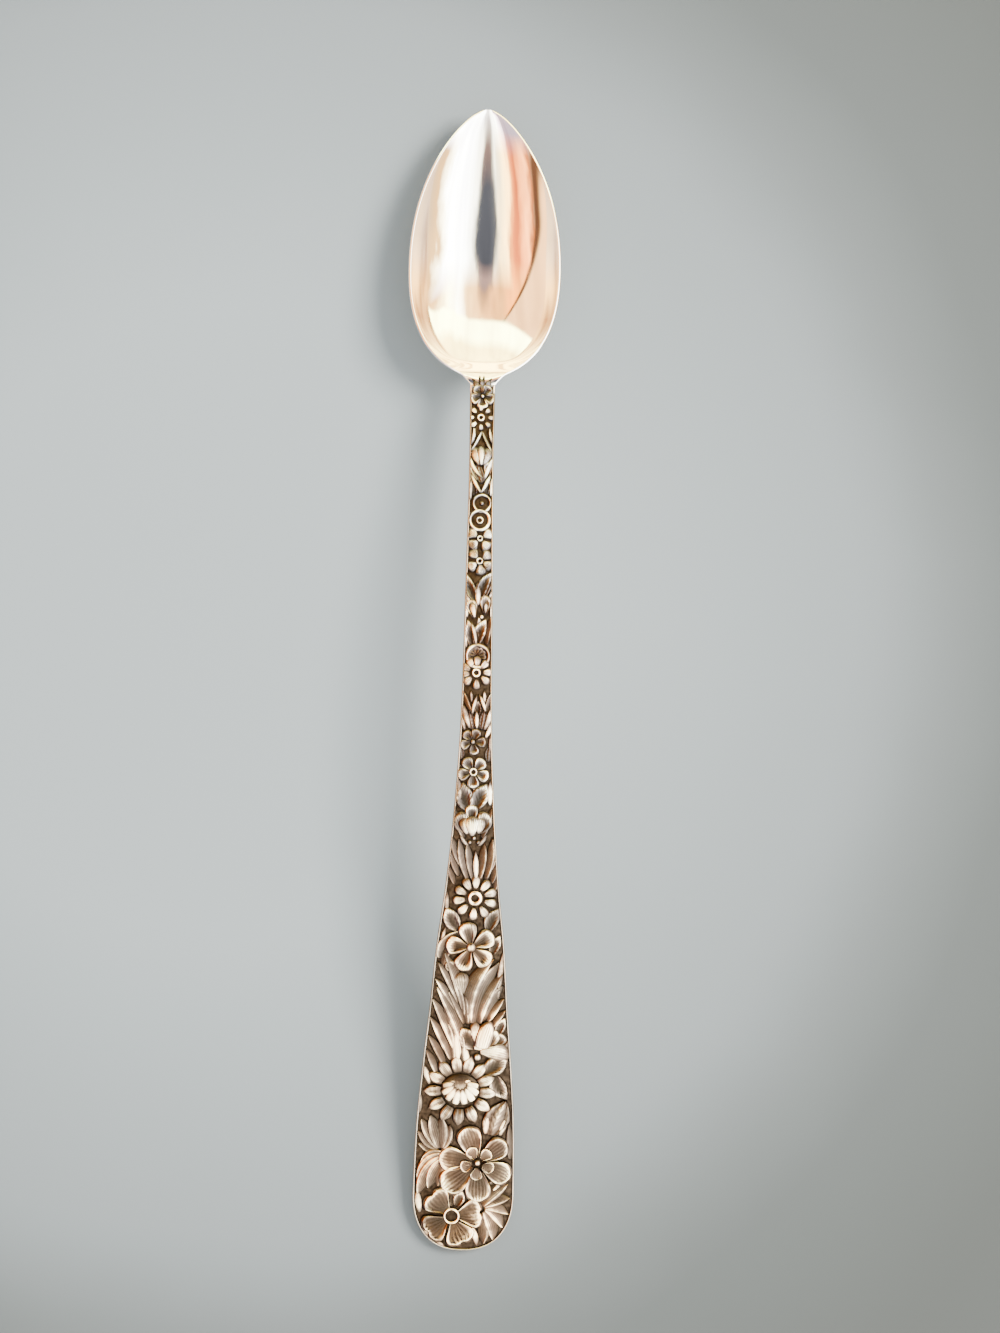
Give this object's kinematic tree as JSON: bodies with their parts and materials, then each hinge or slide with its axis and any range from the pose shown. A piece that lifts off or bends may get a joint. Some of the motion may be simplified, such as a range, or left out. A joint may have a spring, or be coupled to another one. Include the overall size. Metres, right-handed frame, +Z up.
{
  "type": "iced tea spoon",
  "caption": "Long slender iced tea spoon with a pointed egg-shaped bowl and a tapering round-ended handle covered in raised flowers and leaves on a darkened ground.",
  "frame": {"origin": "midway along the spoon's length, on its centre line, at the level of the table it lies on", "axes": "+Y along the spoon towards the bowl's tip, +Z up out of the bowl's open side, +X to the right when the bowl points away from the user"},
  "size_m": [0.0254, 0.1904, 0.0166],
  "materials": {
    "polished_silver": "mirror polish",
    "relief_silver": "soft polish, worn bright on the high spots",
    "dark_silver": "darkened ground, matt"
  },
  "bodies": {
    "root": {"bowl": "polished_silver", "neck": "polished_silver", "stem": "dark_silver", "handle": "dark_silver", "border": "polished_silver", "stem_flowers": "relief_silver", "stem_buds": "relief_silver", "stem_leaves": "relief_silver", "shoulder_flowers": "relief_silver", "shoulder_leaves": "relief_silver", "rose": "relief_silver", "lily": "relief_silver", "great_daisy": "relief_silver", "six_petal_blossom": "relief_silver", "end_blossom": "relief_silver", "end_leaves": "relief_silver", "flower_rings": "polished_silver", "flower_domes": "polished_silver"}
  },
  "joints": []
}
